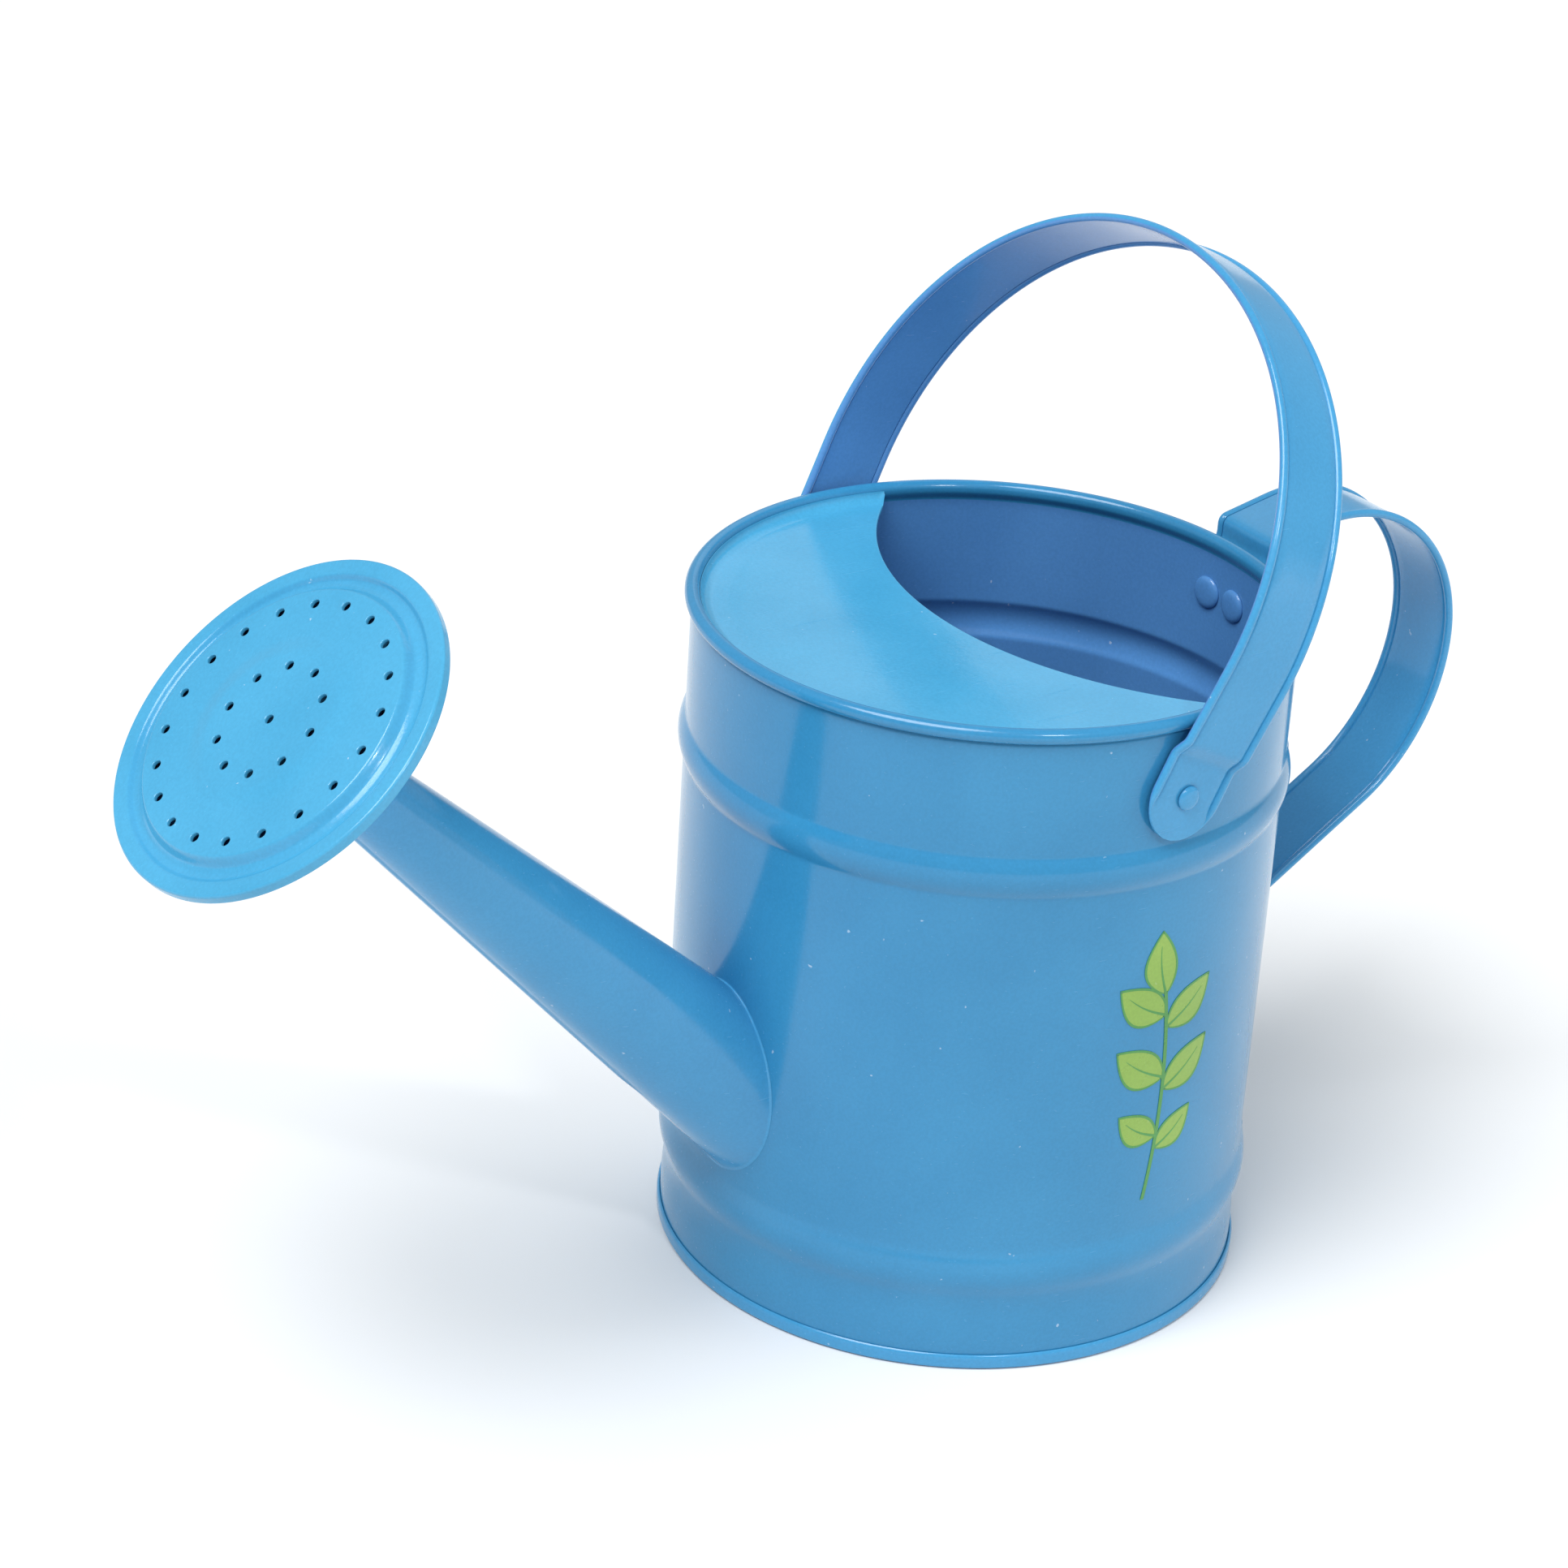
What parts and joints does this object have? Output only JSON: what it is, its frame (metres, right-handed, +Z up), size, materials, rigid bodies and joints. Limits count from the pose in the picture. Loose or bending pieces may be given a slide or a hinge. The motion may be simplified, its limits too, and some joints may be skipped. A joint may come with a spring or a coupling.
{
  "type": "watering can",
  "caption": "Small painted sheet-steel watering can with a half cover, a flared rose, a swinging bail and a fixed rear handle.",
  "frame": {"origin": "centre of the foot, on the ground the can stands on", "axes": "+Z up, +X towards the spout and the rose, the bail turns about Y"},
  "size_m": [0.3239, 0.1376, 0.2239],
  "materials": {
    "can_paint": "gloss",
    "cover_paint": "gloss",
    "decal_print": "gloss"
  },
  "bodies": {
    "can": {"body_shell": "can_paint", "base_plate": "can_paint", "top_cover": "cover_paint", "spout_tube": "can_paint", "rose_face": "cover_paint", "rose_back": "can_paint", "bail_rivet_left": "can_paint", "bail_rivet_right": "can_paint", "rear_handle": "can_paint", "upper_rivet_left": "can_paint", "upper_rivet_right": "can_paint", "lower_rivet_left": "can_paint", "lower_rivet_right": "can_paint", "leaf_decal": "decal_print"},
    "bail": {"bail_handle": "can_paint"}
  },
  "joints": [
    {"name": "bail_hinge", "type": "hinge", "parent": "can", "child": "bail", "pos_m": [0, 0, 0.1311], "axis": [0, 1, 0], "range_deg": [-43, 127]}
  ]
}
